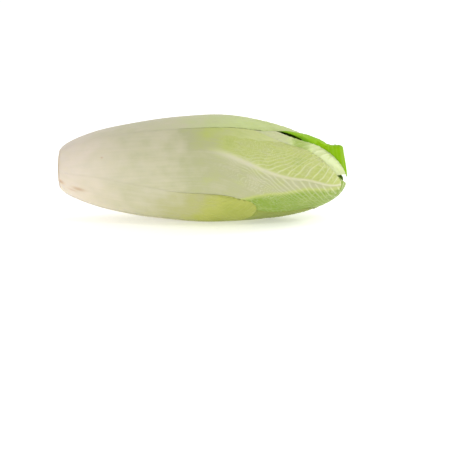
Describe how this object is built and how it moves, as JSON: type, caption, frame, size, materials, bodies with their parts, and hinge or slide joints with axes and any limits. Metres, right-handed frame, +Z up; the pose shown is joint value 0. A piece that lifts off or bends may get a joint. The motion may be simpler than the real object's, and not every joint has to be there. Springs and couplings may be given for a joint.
{
  "type": "endive head",
  "caption": "Closed spindle-shaped head of pale overlapping leaves round a short cut core, with green blades and a waved frill at the tip, lying on its side.",
  "frame": {"origin": "centre of the bounding box at the level of the surface that the head lies on", "axes": "+X along the head from its cut base to its tip, +Z up, -Y towards the leaf that shows at the front"},
  "size_m": [0.1552, 0.0572, 0.0564],
  "materials": {
    "cut_stump": "matte, cut and dried",
    "pale_leaf": "satin",
    "yellow_green_leaf": "satin, moist",
    "green_leaf": "satin, moist"
  },
  "bodies": {
    "root": {"core": "cut_stump", "wrapper_leaf_under": "pale_leaf", "wrapper_leaf_back": "pale_leaf", "wrapper_leaf_front": "pale_leaf", "crown_leaf": "yellow_green_leaf", "main_leaf": "yellow_green_leaf", "keel_leaf": "green_leaf", "shoulder_leaf": "yellow_green_leaf", "frill_leaf": "green_leaf", "rear_leaf": "green_leaf", "chin_leaf": "yellow_green_leaf", "heart_leaf_1": "pale_leaf", "heart_leaf_2": "pale_leaf", "heart_leaf_3": "pale_leaf", "heart_leaf_4": "pale_leaf"}
  },
  "joints": []
}
